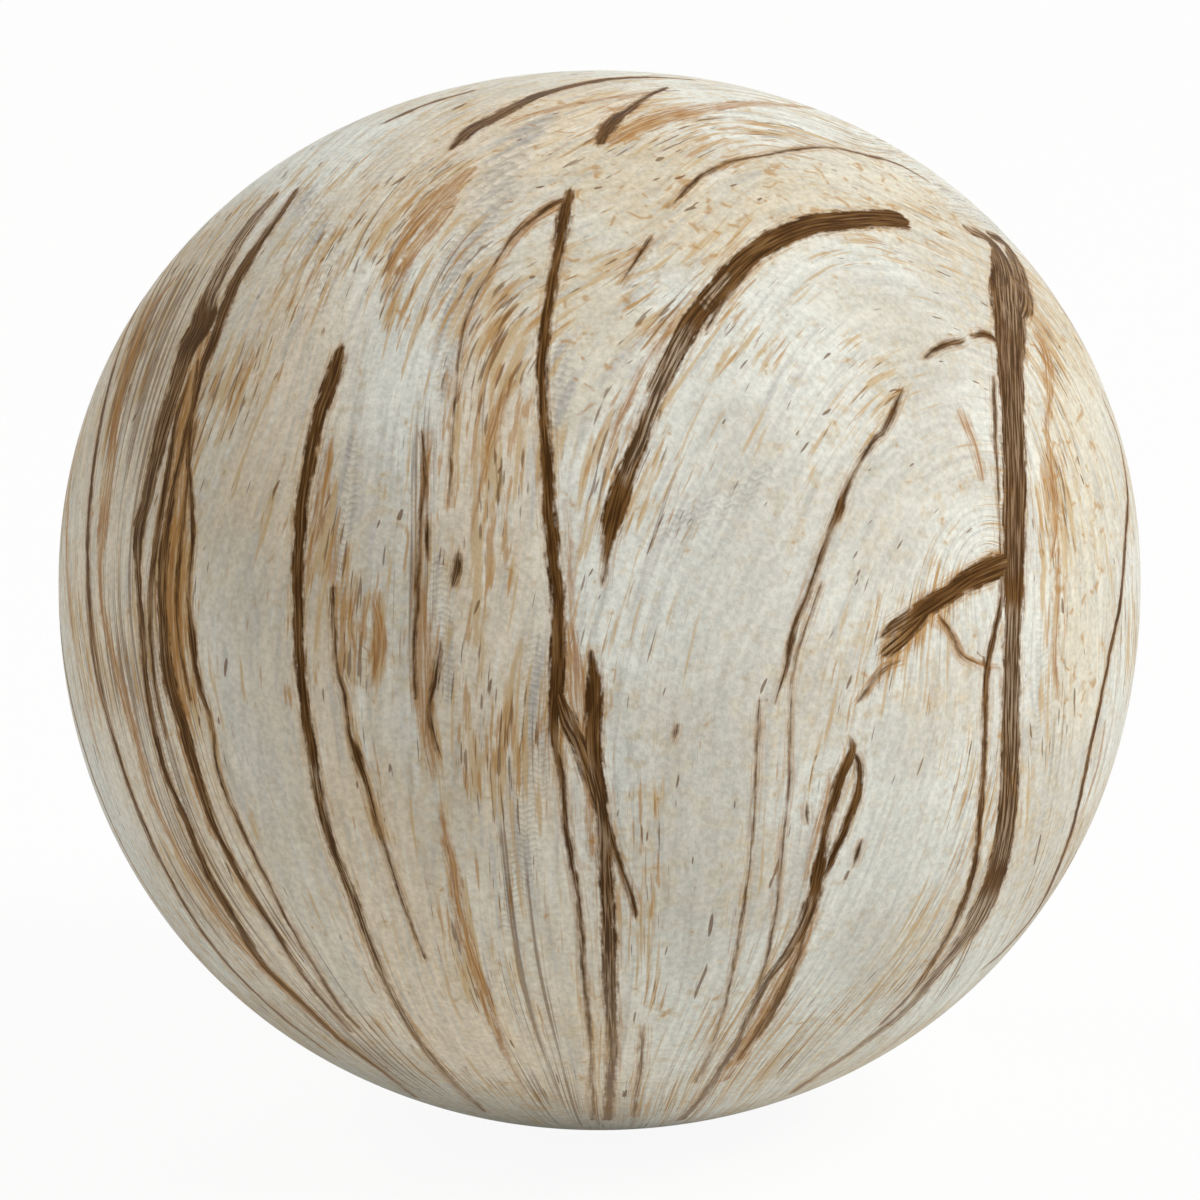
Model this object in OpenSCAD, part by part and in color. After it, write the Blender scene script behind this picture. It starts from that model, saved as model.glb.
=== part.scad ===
// Marble sphere: a solid ball of honed marble for a desk or a shelf.
// It is one piece. Its outline is a little fuller than an ellipse, and slightly
// flattened at the crown and the base.

/* [Ball] */
// Width of the ball across its widest level
ball_w = 100; // [40:1:200]
// Height of the crown above the widest level
crown_h = 47.4; // [16:0.1:110]
// Depth of the base below the widest level
base_h = 50.1; // [16:0.1:110]
// Fullness of the outline, where 2 is an ellipse and more is squarer
fullness = 2.085; // [2:0.005:2.6]

/* [Hidden] */
$fn = 180;

// Degrees between two points of the outline
outline_step = 3;

// A point of the outline: turn is 0 at the widest level and 90 at a pole,
// and reach is the height of that pole from the widest level
function outline_point(turn, reach) =
    let (bend = 2 / fullness)
    [ball_w / 2 * pow(cos(turn), bend), reach * pow(sin(turn), bend)];

// Half of the ball's section, from the base up to the crown
function half_section() = concat(
    [for (turn = [90:-outline_step:outline_step]) outline_point(turn, -base_h)],
    [for (turn = [0:outline_step:90]) outline_point(turn, crown_h)]
);

// The ball is turned about the Z axis, and its lowest point is the origin
module ball() {
    color([0.79, 0.75, 0.67])
        translate([0, 0, base_h])
            rotate_extrude()
                polygon(half_section());
}

ball();
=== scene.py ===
import math
import bpy
import numpy as np
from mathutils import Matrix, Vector


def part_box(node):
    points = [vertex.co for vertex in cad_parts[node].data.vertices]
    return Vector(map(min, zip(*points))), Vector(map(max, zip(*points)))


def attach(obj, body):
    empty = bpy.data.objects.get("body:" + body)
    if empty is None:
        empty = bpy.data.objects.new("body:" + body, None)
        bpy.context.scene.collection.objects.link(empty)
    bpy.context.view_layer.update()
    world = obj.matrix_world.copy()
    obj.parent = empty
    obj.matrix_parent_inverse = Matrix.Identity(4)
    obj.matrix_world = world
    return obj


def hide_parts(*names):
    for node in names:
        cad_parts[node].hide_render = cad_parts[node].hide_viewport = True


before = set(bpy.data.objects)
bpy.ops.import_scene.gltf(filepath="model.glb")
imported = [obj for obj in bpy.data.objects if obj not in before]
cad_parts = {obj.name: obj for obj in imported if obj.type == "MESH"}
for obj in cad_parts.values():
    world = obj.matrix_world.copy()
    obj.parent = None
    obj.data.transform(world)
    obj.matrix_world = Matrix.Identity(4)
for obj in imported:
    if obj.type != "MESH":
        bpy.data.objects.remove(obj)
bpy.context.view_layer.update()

# ---- the ball's form, in millimetres
MM = 0.001
BALL_LOW, BALL_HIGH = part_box("ball")
FULLNESS = 2.085
BASE_SHARE = 50.1 / 97.5
HALF_WIDTH = (BALL_HIGH[0] - BALL_LOW[0]) / 2 / MM
HEIGHT = (BALL_HIGH[2] - BALL_LOW[2]) / MM
BASE = HEIGHT * BASE_SHARE
CROWN = HEIGHT - BASE
CENTRE = np.array([0.0, 0.0, BALL_LOW[2] / MM + BASE])
# The finish lies this far inside the form, and the honing goes up to this much deeper.
SKIN = 0.01
HAND_RELIEF = 0.10
HONING_WAVES = (5, 9, 15, 24)
HONING_EACH = 6
HONING_SEED = 11
MESH_STEPS = 128
MAP_MARGIN = 0.012

# ---- the camera
FRAME_PX = 1200
CAMERA_AWAY = 1000.0
CAMERA_TILT = math.radians(13.0)
PX_PER_MM = 1.0 / 0.09245
BALL_CENTRE_PX = (599.6, 585.4)
CAMERA_REACH = (0.05, 40.0)
SENSOR = 36.0
FOCAL_PX = PX_PER_MM * CAMERA_AWAY
LENS = SENSOR * FOCAL_PX / FRAME_PX
LOOK = np.array([0.0, math.cos(CAMERA_TILT), -math.sin(CAMERA_TILT)])
RIGHT = np.array([1.0, 0.0, 0.0])
UP = np.array([0.0, math.sin(CAMERA_TILT), math.cos(CAMERA_TILT)])
AIM_RIGHT = (FRAME_PX / 2 - BALL_CENTRE_PX[0]) / PX_PER_MM
AIM_UP = (BALL_CENTRE_PX[1] - FRAME_PX / 2) / PX_PER_MM
AIM = RIGHT * AIM_RIGHT + UP * AIM_UP
EYE = AIM - LOOK * CAMERA_AWAY
SIGHT_ROUNDS = 12

# ---- veins: x, y and width in pixels of the 1200 frame
# The number is the sheet that a vein lies on. Near neighbours lie on different sheets.
DARK_VEINS = {
    "big arch": (0, [
        (603, 584, 3), (606, 556, 8), (611, 528, 16), (617, 504, 27), (625, 478, 20), (637, 447, 17),
        (659, 387, 18), (689, 327, 23), (717, 290, 24), (752, 254, 22), (798, 229, 20), (836, 221, 18),
        (878, 218, 14), (902, 220, 13), (908, 221, 9)]),
    "right vein": (1, [
        (965, 228, 4), (985, 237, 7), (998, 250, 11), (1006, 272, 17), (1008, 298, 22), (1010, 322, 24),
        (1011, 360, 23), (1013, 410, 22), (1015, 467, 23), (1015, 524, 23), (1015, 582, 21),
        (1013, 639, 17), (1012, 697, 17), (1011, 757, 17), (1008, 815, 17), (999, 865, 17), (984, 907, 17),
        (962, 945, 12), (933, 979, 8), (903, 1014, 6), (864, 1044, 5), (818, 1075, 4), (790, 1095, 3)]),
    "right companion": (2, [
        (994, 375, 3), (996, 448, 4), (1000, 520, 2), (1002, 593, 4), (994, 639, 5), (987, 677, 6),
        (985, 757, 5), (981, 815, 5), (975, 865, 5), (960, 914, 5), (937, 956, 4), (914, 991, 3),
        (880, 1026, 2)]),
    "branch": (3, [
        (1008, 563, 22), (990, 570, 27), (973, 578, 22), (950, 593, 19), (927, 607, 19), (904, 622, 16),
        (889, 632, 11), (882, 637, 4)]),
    "branch strand": (0, [(930, 610, 5), (918, 625, 13), (904, 638, 13), (889, 650, 12), (882, 656, 5)]),
    "branch tail": (2, [(902, 661, 2), (885, 668, 5), (872, 683, 4), (864, 694, 4), (858, 702, 2)]),
    "short twig": (0, [(924, 358, 3), (943, 346, 7), (962, 341, 5), (966, 339, 1)]),
    "short twig end": (3, [(971, 336, 3), (982, 334, 6), (993, 337, 5), (999, 343, 2)]),
    "diagonal": (3, [
        (903, 389, 2), (893, 413, 7), (883, 433, 4), (874, 441, 6), (858, 467, 4), (845, 494, 6),
        (840, 509, 9), (832, 528, 6), (820, 559, 5), (809, 591, 6), (796, 624, 6), (786, 670, 5),
        (776, 702, 2)]),
    "diagonal twin": (1, [
        (821, 584, 2), (809, 620, 3), (797, 655, 2), (791, 689, 2), (790, 754, 2), (790, 784, 4),
        (785, 826, 2), (776, 910, 3), (765, 968, 3), (748, 1018, 2)]),
    "right edge": (0, [
        (1103, 398, 1), (1117, 433, 2), (1124, 463, 3), (1128, 498, 4), (1126, 536, 4), (1121, 601, 4),
        (1111, 651, 4), (1100, 708, 4), (1090, 754, 4), (1075, 822, 4), (1060, 865, 4), (1040, 907, 4),
        (1010, 945, 3), (980, 972, 2)]),
    "centre": (0, [
        (570, 188, 7), (565, 211, 13), (558, 253, 11), (550, 295, 11), (544, 333, 12), (542, 371, 12),
        (543, 410, 11), (546, 448, 12), (548, 486, 13), (550, 524, 14), (554, 563, 14), (558, 601, 14),
        (558, 639, 15), (557, 678, 17), (555, 710, 13), (554, 740, 8), (562, 777, 7), (566, 826, 7),
        (575, 880, 6), (581, 930, 5), (585, 991, 5), (591, 1044, 4), (593, 1121, 3)]),
    "centre right": (1, [
        (591, 650, 3), (594, 675, 13), (594, 705, 19), (593, 757, 18), (602, 807, 14), (606, 872, 15),
        (609, 930, 15), (610, 987, 14), (612, 1044, 11), (608, 1121, 8)]),
    "centre link": (2, [(558, 690, 8), (566, 718, 18), (579, 745, 16), (590, 780, 12), (598, 812, 4)]),
    "centre spur": (3, [
        (607, 815, 3), (612, 842, 8), (621, 868, 7), (630, 892, 5), (635, 910, 8), (636, 919, 3)]),
    "right crook": (2, [
        (988, 234, 4), (1004, 243, 8), (1016, 262, 11), (1023, 286, 12), (1025, 304, 11), (1020, 322, 4)]),
    "slit thread": (3, [(706, 330, 3), (720, 305, 6), (736, 284, 6), (752, 268, 3)]),
    "branch hook": (2, [(940, 617, 2), (952, 634, 4), (962, 655, 3), (978, 664, 2)]),
    "bundle inner": (3, [
        (190, 372, 2), (176, 420, 5), (168, 470, 6), (160, 520, 5), (152, 570, 5), (150, 620, 4),
        (154, 680, 3), (166, 740, 2)]),
    "bundle right inner": (0, [
        (196, 420, 2), (187, 480, 3), (181, 540, 4), (176, 600, 4), (180, 650, 3), (190, 700, 2)]),
    "mid left thread": (3, [
        (421, 430, 2), (424, 480, 5), (419, 540, 3), (417, 600, 5), (414, 650, 4), (416, 700, 3)]),
    "low dash": (3, [(643, 1026, 2), (641, 1064, 5), (637, 1090, 3), (633, 1118, 3)]),
    "top branch": (2, [
        (567, 197, 4), (552, 204, 5), (536, 215, 4), (519, 229, 6), (508, 243, 3), (496, 262, 2),
        (473, 302, 3), (461, 345, 3), (456, 394, 2), (452, 448, 3), (448, 505, 2)]),
    "left": (3, [
        (341, 345, 6), (337, 360, 13), (330, 383, 15), (320, 410, 14), (313, 440, 13), (307, 471, 13),
        (301, 505, 12), (299, 544, 12), (297, 582, 12), (298, 620, 11), (299, 658, 11), (303, 697, 11),
        (309, 735, 11), (315, 774, 11), (321, 806, 10), (331, 844, 8), (347, 882, 8), (363, 927, 7),
        (379, 968, 6), (398, 1007, 5), (425, 1050, 4), (456, 1086, 3), (485, 1113, 2)]),
    "left thread": (0, [
        (332, 586, 4), (334, 632, 4), (337, 672, 3), (345, 697, 4), (349, 728, 4), (357, 758, 9),
        (366, 783, 5), (376, 819, 5), (388, 857, 4), (404, 905, 3), (424, 960, 2)]),
    "bundle": (0, [
        (276, 193, 5), (251, 222, 9), (228, 257, 10), (209, 295, 13), (200, 325, 22), (186, 352, 16),
        (175, 387, 12), (163, 425, 15), (154, 463, 12), (146, 501, 12), (138, 532, 10), (138, 582, 6),
        (142, 632, 6), (145, 678, 5), (152, 722, 5), (165, 774, 5), (187, 825, 6), (208, 876, 6),
        (237, 924, 6), (262, 965, 5), (302, 1004, 4), (341, 1042, 4), (379, 1070, 3), (415, 1098, 2)]),
    "bundle second": (1, [
        (298, 187, 3), (274, 222, 5), (255, 249, 7), (236, 280, 10), (225, 306, 9), (213, 341, 10),
        (202, 371, 6), (190, 417, 5), (179, 463, 5), (171, 501, 6), (164, 547, 10), (161, 586, 10),
        (163, 624, 9), (165, 655, 12), (171, 689, 13), (182, 723, 11), (194, 766, 9), (210, 819, 6),
        (232, 863, 5), (257, 905, 4), (278, 937, 4), (293, 962, 3), (321, 1000, 3), (350, 1032, 2)]),
    "bundle third": (2, [
        (198, 360, 3), (192, 410, 4), (188, 460, 4), (192, 509, 5), (192, 544, 5), (188, 593, 3),
        (192, 639, 7), (197, 680, 6), (211, 722, 3), (219, 777, 3), (242, 831, 4), (264, 876, 3),
        (290, 927, 3), (315, 968, 3), (337, 1004, 3), (360, 1030, 2)]),
    "left rim": (3, [
        (92, 480, 1), (88, 544, 2), (89, 593, 2), (91, 639, 2), (98, 685, 2), (119, 758, 3), (127, 783, 3),
        (152, 844, 3), (178, 895, 3), (207, 940, 3), (239, 978, 3), (283, 1019, 3), (334, 1058, 2)]),
    "smudge": (1, [
        (440, 640, 2), (438, 656, 6), (434, 685, 8), (429, 712, 5), (433, 738, 6), (440, 757, 2)]),
    "smudge upper": (1, [(427, 515, 2), (427, 540, 6), (428, 560, 2)]),
    "smudge right": (1, [(458, 552, 4), (457, 570, 11), (452, 588, 3)]),
    "crown line": (3, [
        (450, 149, 3), (470, 130, 8), (501, 113, 8), (532, 97, 7), (568, 86, 6), (604, 79, 5),
        (648, 76, 4), (695, 79, 2)]),
    "crown bend": (0, [
        (598, 144, 6), (606, 130, 12), (614, 120, 8), (630, 108, 4), (650, 94, 3), (668, 86, 2)]),
    "fine arch": (2, [
        (668, 208, 2), (684, 191, 4), (702, 175, 4), (729, 162, 3), (760, 155, 2), (795, 149, 2),
        (831, 147, 2), (867, 155, 2), (898, 164, 2), (930, 182, 1)]),
    "fine arch foot": (2, [(652, 236, 3), (641, 253, 5), (630, 270, 3), (620, 284, 2)]),
    "crown left": (1, [(380, 124, 3), (425, 104, 4), (475, 89, 2)]),
    "thin low": (3, [
        (760, 700, 2), (757, 757, 3), (755, 796, 2), (750, 861, 2), (740, 930, 3), (729, 987, 2),
        (713, 1044, 2), (696, 1083, 2)]),
    "low right left": (0, [
        (850, 738, 3), (852, 752, 9), (838, 788, 10), (826, 830, 7), (819, 872, 13), (807, 918, 12),
        (788, 953, 8), (768, 979, 6), (753, 1008, 6), (737, 1045, 5), (720, 1070, 4), (702, 1098, 3),
        (680, 1121, 3)]),
    "low right loop": (2, [
        (854, 752, 4), (860, 768, 7), (857, 798, 8), (845, 830, 8), (832, 860, 7), (822, 880, 3)]),
    "low right strand": (3, [
        (806, 935, 2), (798, 958, 5), (783, 990, 6), (767, 1020, 7), (752, 1042, 4), (737, 1062, 2)]),
    "dash a": (3, [(862, 842, 1), (859, 852, 5), (854, 866, 2)]),
    "dash b": (1, [(677, 724, 1), (676, 735, 5), (674, 741, 1)]),
    "dash c": (2, [(807, 805, 1), (807, 814, 5), (808, 822, 1)]),
}

# Softer bands, in a warmer and paler brown.
TAN_BANDS = {
    "outer left": [
        (176, 276, 4), (148, 314, 5), (129, 364, 6), (117, 410, 7), (110, 467, 9), (104, 517, 12),
        (100, 563, 6), (102, 609, 5), (112, 651, 6), (123, 694, 8), (137, 745, 8), (152, 799, 6),
        (180, 856, 5), (214, 910, 6), (255, 960, 9), (300, 1003, 8), (345, 1045, 5)],
    "left patch": [(329, 440, 3), (325, 478, 10), (319, 516, 14), (311, 552, 8), (306, 590, 3)],
    "right mottle": [
        (1034, 330, 3), (1046, 352, 8), (1050, 390, 7), (1048, 430, 4), (1052, 470, 6), (1057, 520, 8),
        (1052, 560, 4)],
    "right mottle low": [(1060, 545, 3), (1058, 600, 5), (1056, 660, 6), (1060, 700, 3)],
    "left mottle": [(960, 408, 5), (966, 424, 10), (974, 444, 7), (979, 462, 9), (983, 482, 5)],
    "top branch fill": [
        (566, 200, 6), (548, 210, 12), (530, 222, 13), (514, 240, 8), (500, 262, 5), (484, 292, 3)],
    "low right fill": [
        (816, 896, 6), (804, 940, 12), (784, 980, 14), (766, 1016, 12), (746, 1048, 9), (722, 1082, 5)],
    "hook fill": [(938, 618, 4), (952, 636, 8), (964, 656, 8), (984, 666, 7), (1002, 668, 4)],
    "scribble": [(372, 596, 4), (378, 620, 12), (380, 645, 14), (376, 668, 8), (372, 690, 3)],
    "centre fill": [
        (570, 620, 8), (575, 660, 16), (578, 700, 20), (582, 735, 14), (587, 770, 9), (590, 810, 9),
        (592, 860, 6)],
    "bundle fill": [
        (205, 330, 10), (192, 380, 14), (182, 440, 16), (176, 520, 20), (174, 600, 20), (178, 680, 16),
        (190, 760, 10), (215, 840, 6)],
    "smudge fill": [(424, 590, 6), (424, 640, 14), (425, 690, 18), (427, 740, 12), (434, 780, 5)],
    "left low": [(357, 576, 3), (353, 600, 8), (350, 628, 8), (356, 655, 3)],
    "orange top": [(474, 166, 6), (449, 189, 15), (427, 211, 14), (405, 239, 9), (389, 274, 4)],
    "orange top right": [(458, 196, 4), (439, 222, 9), (416, 250, 7), (401, 274, 6), (391, 296, 2)],
    "mid orange": [
        (514, 380, 3), (503, 400, 9), (496, 425, 14), (488, 452, 8), (478, 500, 5), (470, 540, 2)],
    "mid brown": [
        (432, 430, 3), (427, 460, 8), (424, 490, 5), (421, 540, 3), (420, 601, 7), (418, 650, 9),
        (416, 700, 8), (424, 728, 4)],
    "low brown": [
        (440, 800, 3), (444, 828, 8), (452, 863, 12), (458, 905, 12), (468, 946, 11), (481, 984, 9),
        (490, 1016, 8), (510, 1064, 4), (525, 1095, 2)],
    "arch fringe": [
        (603, 470, 5), (612, 440, 8), (628, 400, 8), (645, 366, 7), (668, 330, 7), (680, 308, 3)],
    "arch inside": [(703, 318, 2), (722, 297, 6), (742, 280, 5), (760, 262, 3)],
    "centre fringe": [
        (566, 500, 4), (570, 560, 6), (573, 620, 5), (575, 668, 9), (577, 700, 11), (575, 725, 4)],
    "crown fan": [
        (606, 142, 7), (639, 126, 13), (679, 113, 11), (724, 105, 8), (769, 103, 6), (815, 108, 3)],
    "crown under": [(500, 126, 3), (540, 112, 4), (586, 101, 4), (621, 95, 4), (660, 91, 2)],
    "right rim": [(1106, 720, 2), (1100, 760, 3), (1088, 800, 3), (1070, 850, 2)],
    "low right fringe": [(830, 770, 3), (826, 800, 7), (812, 850, 5), (806, 880, 3)],
    "spur": [(930, 622, 3), (946, 632, 5), (955, 645, 4), (966, 664, 3)],
}

# Soft stains by kind, each with its strength and its route. They tint the ground, call for more strokes of
# a colour, lay grey smears, or wear the veins thin. The plain patches also lay painted shade, a greyer
# tone, and the beige patches lay painted warm shade on the left and lower front.
STAINS = {
    "tan": [
        (0.7, [(1044, 330, 24), (1056, 420, 34), (1056, 520, 34), (1056, 640, 30), (1048, 760, 20)]),
        (0.7, [(650, 320, 30), (620, 400, 40), (596, 480, 36), (580, 580, 30), (575, 680, 30)]),
        (0.7, [(500, 300, 34), (500, 400, 50), (500, 500, 50), (500, 580, 40)]),
        (0.4, [(500, 560, 50), (505, 640, 56), (510, 760, 50), (515, 880, 40)]),
        (0.8, [(450, 170, 30), (420, 200, 34), (398, 250, 30), (386, 310, 18)]),
        (0.8, [(325, 440, 20), (330, 520, 32), (350, 620, 44), (362, 720, 40), (385, 830, 30)]),
        (0.8, [(195, 380, 40), (180, 480, 40), (175, 600, 36), (185, 700, 26)]),
        (0.35, [(640, 120, 50), (720, 130, 60), (800, 140, 40)]),
        (0.25, [(250, 330, 36), (244, 420, 36), (244, 500, 30)]),
        (0.9, [(1000, 560, 26), (950, 600, 34), (900, 645, 34), (875, 690, 20)]),
        (1.0, [(372, 600, 20), (375, 640, 28), (372, 680, 18)]),
        (0.6, [(690, 720, 20), (692, 745, 26), (690, 770, 16)]),
        (0.5, [(470, 640, 40), (480, 760, 50), (500, 900, 50), (520, 1020, 30)]),
        (0.9, [(446, 860, 20), (460, 920, 30), (476, 980, 26), (492, 1030, 14)]),
        (0.5, [(640, 800, 40), (660, 900, 50), (655, 1000, 30)]),
    ],
    "grey": [
        (1.0, [
            (545, 112, 14), (515, 150, 26), (492, 195, 38), (470, 245, 42), (456, 290, 36),
            (448, 345, 22), (443, 395, 12)]),
        (0.7, [(558, 330, 16), (562, 370, 26), (560, 410, 22), (556, 460, 12)]),
        (0.7, [(300, 190, 26), (318, 230, 34), (325, 270, 26), (318, 310, 14)]),
        (0.7, [(352, 440, 12), (350, 500, 18), (340, 560, 16), (345, 620, 10)]),
        (0.9, [(438, 560, 14), (440, 600, 20), (446, 640, 16), (450, 700, 12)]),
        (0.8, [(535, 640, 16), (536, 720, 30), (530, 800, 34), (520, 870, 30), (505, 930, 16)]),
        (0.9, [(945, 190, 12), (975, 212, 22), (1003, 232, 26), (1030, 262, 14)]),
        (0.6, [(150, 620, 14), (152, 680, 20), (160, 740, 18), (185, 810, 10)]),
        (0.5, [(640, 545, 14), (680, 520, 34), (730, 500, 34), (770, 470, 22)]),
        (0.5, [(655, 235, 16), (640, 265, 24), (628, 300, 14)]),
        (0.4, [(1040, 610, 12), (1046, 680, 20), (1036, 740, 14)]),
    ],
    # Plain patches: fewer grey fibres and tan strokes, and a greyer tone that is painted shade.
    "plain_and_shade": [
        (0.85, [(820, 560, 60), (880, 480, 70), (930, 420, 60), (930, 330, 70), (860, 300, 60)]),
        (1.0, [(720, 420, 90), (740, 520, 120), (720, 640, 120), (700, 860, 60), (690, 960, 50)]),
        (0.9, [(900, 740, 60), (900, 840, 80), (860, 960, 50)]),
        (0.8, [(240, 560, 60), (250, 700, 70), (290, 860, 50), (340, 990, 40)]),
        (0.7, [(905, 520, 40), (900, 570, 40)]),
    ],
    "yellow": [
        (1.0, [(560, 110, 60), (640, 180, 110), (720, 230, 90), (800, 190, 80), (900, 190, 60)]),
        (0.9, [(560, 260, 80), (600, 330, 90), (560, 420, 60)]),
        (1.0, [(1070, 330, 56), (1078, 450, 66), (1078, 560, 60), (1082, 680, 46)]),
        (0.5, [(850, 300, 60), (920, 330, 50)]),
    ],
    # Beige patches: a warm tint, partly painted warm shade on the shaded left and lower front.
    "beige_and_shade": [
        (0.9, [(150, 300, 110), (120, 480, 130), (120, 620, 130), (180, 800, 130), (320, 980, 120)]),
        (1.0, [(280, 330, 130), (270, 520, 150), (300, 700, 150), (380, 900, 150), (470, 1040, 120)]),
        (0.9, [(500, 330, 70), (490, 440, 110), (490, 620, 130), (510, 800, 140)]),
        (0.6, [(500, 820, 150), (530, 960, 160), (570, 1080, 130)]),
        (0.8, [(430, 190, 110), (500, 130, 80), (600, 100, 50)]),
    ],
    "lines": [
        (1.0, [
            (160, 330, 70), (140, 480, 80), (140, 620, 90), (170, 760, 80), (240, 900, 70),
            (330, 1010, 60), (410, 1080, 40)]),
        (1.0, [(500, 850, 70), (525, 960, 80), (545, 1060, 60), (565, 1120, 40)]),
        (0.7, [(420, 420, 50), (425, 560, 60), (420, 700, 50)]),
        (0.6, [(690, 850, 50), (700, 980, 40)]),
        (0.8, [(1075, 700, 30), (1040, 850, 36), (960, 980, 30)]),
    ],
    "worn": [
        (0.6, [(628, 480, 10), (640, 440, 22), (655, 395, 24), (672, 355, 20), (690, 325, 8)]),
        (1.0, [(704, 305, 4), (716, 289, 8), (728, 276, 4)]),
        (0.45, [(975, 232, 14), (1004, 250, 26), (1016, 280, 30), (1014, 320, 20)]),
        (0.22, [(1012, 340, 24), (1014, 440, 24), (1014, 560, 20)]),
        (0.4, [(1012, 620, 20), (1012, 740, 20), (1006, 850, 20)]),
        (1.0, [(975, 920, 24), (950, 960, 26), (900, 1020, 20), (820, 1075, 16)]),
        (0.45, [(812, 905, 14), (790, 950, 26), (765, 1000, 30), (735, 1050, 26)]),
        (0.3, [(607, 900, 14), (610, 990, 16), (611, 1080, 14)]),
        (0.9, [(280, 190, 14), (250, 225, 26), (226, 262, 24), (215, 300, 10)]),
        (0.25, [(180, 380, 26), (155, 470, 26), (140, 560, 22), (142, 650, 18)]),
        (0.6, [(520, 228, 14), (500, 252, 14), (475, 300, 14), (458, 370, 14), (450, 500, 14)]),
        (0.4, [(162, 530, 12), (160, 600, 18), (166, 650, 10)]),
        (0.6, [(438, 640, 16), (434, 690, 22), (434, 745, 14)]),
        (0.6, [(427, 515, 10), (457, 560, 16), (454, 590, 10)]),
        (0.5, [(905, 622, 22), (886, 650, 20)]),
        (0.4, [(566, 715, 10), (585, 760, 14), (600, 830, 12), (607, 900, 10)]),
        (0.6, [(315, 770, 12), (350, 890, 12), (400, 1010, 12), (470, 1100, 12)]),
    ],
}

# Veins of the sides and the back, down the grain from their top ends:
# azimuth and elevation in degrees, length and width in mm, sheet.
HIDDEN_VEINS = [
    (90, 34, 84, 0.8, 1), (99, 46, 74, 2.0, 2), (104, 20, 46, 0.6, 3), (112, 8, 52, 1.0, 0),
    (122, 38, 60, 0.5, 1), (130, 55, 92, 2.3, 3), (138, 22, 40, 0.7, 2), (146, 4, 48, 1.4, 0),
    (158, 44, 84, 0.9, 1), (166, 18, 30, 0.5, 2), (171, 60, 58, 1.7, 3), (180, 30, 78, 2.1, 0),
    (190, 2, 46, 0.6, 1), (198, 40, 50, 0.8, 2), (206, 15, 60, 1.3, 3), (216, 52, 96, 1.9, 1),
    (226, 26, 44, 0.6, 0), (232, -4, 40, 0.9, 2), (242, 42, 88, 1.2, 3), (252, 12, 54, 0.6, 1),
    (258, 34, 70, 0.8, 2), (268, 5, 46, 0.4, 0), (90, -8, 34, 0.6, 3), (118, -20, 28, 0.7, 2),
    (175, -14, 34, 0.9, 2), (212, -16, 30, 0.5, 0), (262, -18, 30, 0.6, 3), (150, 72, 36, 1.0, 2),
    (235, 70, 34, 0.8, 0),
]
HIDDEN_BANDS = [
    (88, 40, 50, 1.1), (109, 30, 40, 1.3), (128, 10, 44, 0.9), (152, 32, 50, 1.4), (163, -2, 36, 0.8),
    (186, 46, 44, 1.5), (203, 22, 46, 1.0), (222, 8, 40, 1.3), (238, 28, 46, 0.9), (249, 48, 40, 1.2),
    (264, 20, 44, 1.0), (140, -12, 30, 0.8), (195, -20, 28, 0.8), (246, -8, 34, 0.9),
]
# Wide stains of the sides and the back: azimuth, elevation, length, width, strength, kind.
HIDDEN_STAINS = [
    (95, 35, 50, 4.5, 0.8, "tan"), (120, 15, 44, 4.0, 0.7, "grey"), (135, 45, 60, 5.0, 0.8, "tan"),
    (150, 10, 40, 5.0, 0.6, "tan"), (160, 50, 40, 4.0, 0.9, "grey"), (176, 20, 60, 5.0, 0.8, "tan"),
    (192, 40, 36, 4.0, 0.6, "grey"), (210, 30, 60, 5.5, 0.8, "tan"), (228, 44, 40, 4.0, 0.7, "grey"),
    (240, 10, 44, 5.0, 0.7, "tan"), (256, 40, 50, 4.0, 0.7, "tan"), (108, -10, 40, 9.0, 0.9, "plain_and_shade"),
    (142, 30, 60, 9.0, 0.8, "plain_and_shade"), (168, 0, 50, 9.0, 0.8, "plain_and_shade"), (200, 0, 50, 10.0, 0.9, "plain_and_shade"),
    (233, 20, 60, 9.0, 0.8, "plain_and_shade"), (115, 50, 40, 12.0, 0.8, "yellow"),
    (180, 60, 50, 14.0, 0.8, "yellow"), (240, 50, 40, 12.0, 0.8, "yellow"),
    (250, 50, 80, 16.0, 0.9, "beige_and_shade"), (205, 45, 80, 14.0, 0.7, "beige_and_shade"), (150, 30, 60, 12.0, 0.6, "beige_and_shade"),
    (200, 30, 70, 14.0, 0.7, "beige_and_shade"), (120, 40, 60, 14.0, 0.6, "yellow"), (225, 55, 70, 5.0, 0.9, "tan"),
    (85, 10, 60, 6.0, 0.8, "lines"), (130, 35, 70, 7.0, 0.8, "lines"), (175, 50, 90, 7.0, 0.9, "lines"),
    (220, 30, 70, 7.0, 0.9, "lines"), (262, 40, 80, 8.0, 1.0, "lines"), (99, 20, 40, 3.0, 0.8, "worn"),
    (130, 50, 40, 3.0, 0.7, "worn"), (171, 50, 50, 3.0, 0.7, "worn"), (180, 0, 40, 3.0, 0.8, "worn"),
    (216, 20, 50, 3.0, 0.7, "worn"), (258, 20, 50, 3.0, 0.8, "worn"),
]

# Vein sheets: four for the dark veins and one for the tan bands. Lengths are in mm.
SHEETS = 5
TAN_SHEET = 4
# A vein's reach is exact up to NEAR outside its edge and falls steeply beyond that and past its ends.
FAR = 9.0
NEAR = 0.9
STEP_AWAY = 3.0
END_ROOM = 0.3
END_GAP = 0.02
VEIN_REACH = 5.0
CURVE_PIECES = 10
ROUTE_STEP = 0.6
# How much wider than it looks a vein near the outline may become.
RIM_STRETCH = 2.4
LEAST_WIDTH_PX = 0.5
# Share of its half width at which a stain starts to fade and ends, and how far it is looked for.
STAIN_FADE = (0.35, 1.5)
STAIN_REACH = 1.6
LEAST_HALF = 0.05
# Shift along the noise from one vein to the next.
ROUTE_GAP = 37.0


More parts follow.
